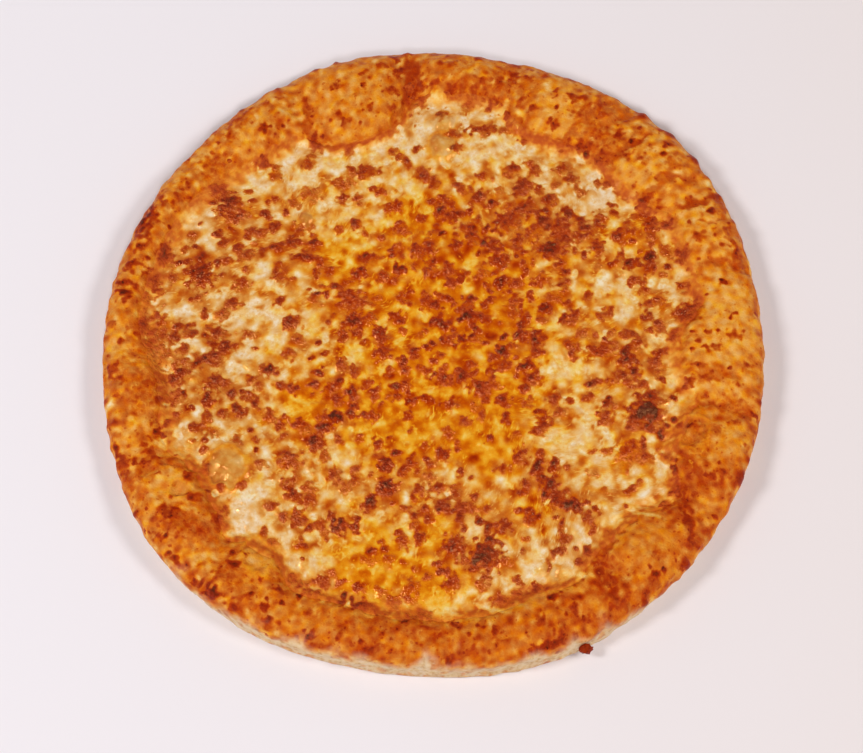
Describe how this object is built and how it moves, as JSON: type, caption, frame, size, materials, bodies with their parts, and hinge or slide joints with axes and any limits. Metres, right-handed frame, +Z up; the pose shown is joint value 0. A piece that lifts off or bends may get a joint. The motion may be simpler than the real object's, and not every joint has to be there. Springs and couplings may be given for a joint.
{
  "type": "cheese pizza",
  "caption": "Round, whole, uncut pizza with a raised uneven browned crust, a thin layer of tomato sauce and a melted, blistered cheese top.",
  "frame": {"origin": "middle of the flat underside's surroundings: centred in plan on the whole outline, on the surface that the pizza lies on", "axes": "+Z up, out of the cheese; +Y towards the back of the picture; +X to its right"},
  "size_m": [0.3076, 0.3116, 0.0198],
  "materials": {
    "baked_dough": "golden baked dough with orange-brown toasted patches and dark specks, satin from the oven fat, pale and floury at the base",
    "tomato_sauce": "moist, dark red-orange, oily",
    "melted_cheese": "cream to golden melted shreds with orange oil and round red-brown toasted blisters, glossy"
  },
  "bodies": {
    "root": {"crust": "baked_dough", "sauce": "tomato_sauce", "cheese": "melted_cheese"}
  },
  "joints": []
}
